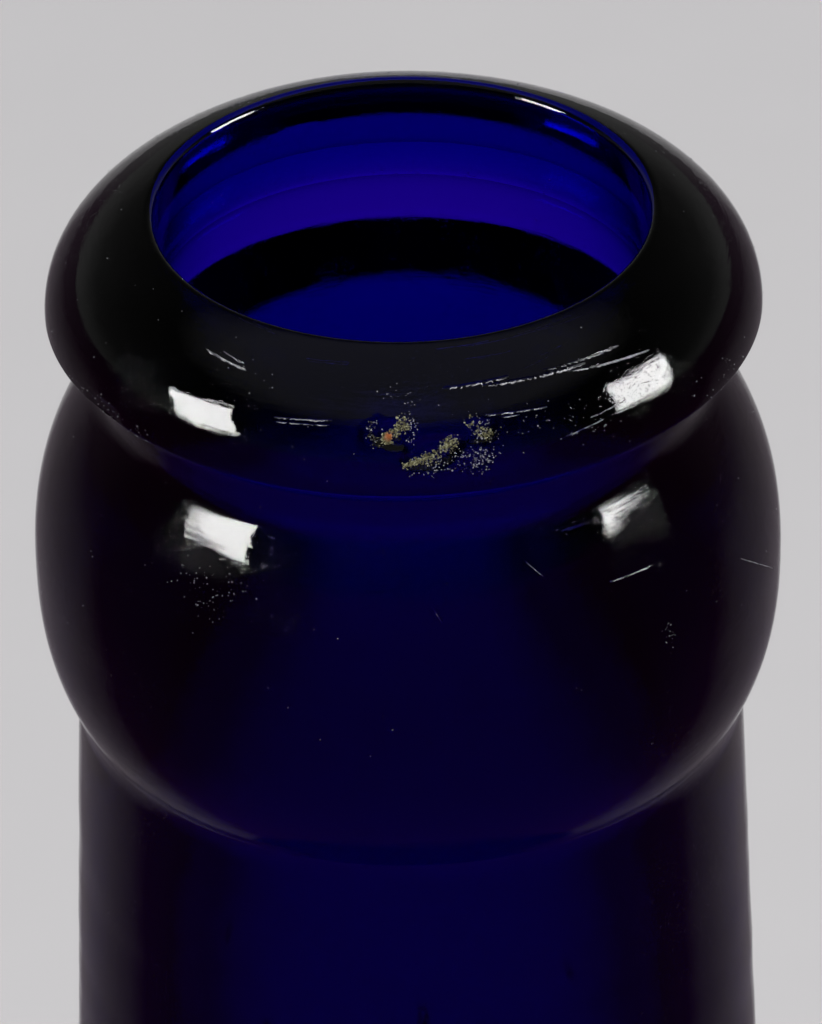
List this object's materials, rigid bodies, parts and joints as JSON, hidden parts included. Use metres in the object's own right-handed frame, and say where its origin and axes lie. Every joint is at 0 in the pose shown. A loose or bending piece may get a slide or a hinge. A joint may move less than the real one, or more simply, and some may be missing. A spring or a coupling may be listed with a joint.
{
  "type": "glass bottle",
  "caption": "Antique mouth-blown cobalt blue glass bottle: sloping shoulder, domed base, and an applied finish with a rounded lip ring over a bulbous collar.",
  "frame": {"origin": "centre of the ring the bottle stands on", "axes": "+Z is the bottle's axis of revolution, up through the mouth; X and Y are across the body"},
  "size_m": [0.064, 0.064, 0.188],
  "materials": {
    "cobalt_glass": "glossy, worn"
  },
  "bodies": {
    "root": {"blown_body": "cobalt_glass", "collar_ring": "cobalt_glass", "lip_ring": "cobalt_glass"}
  },
  "joints": []
}
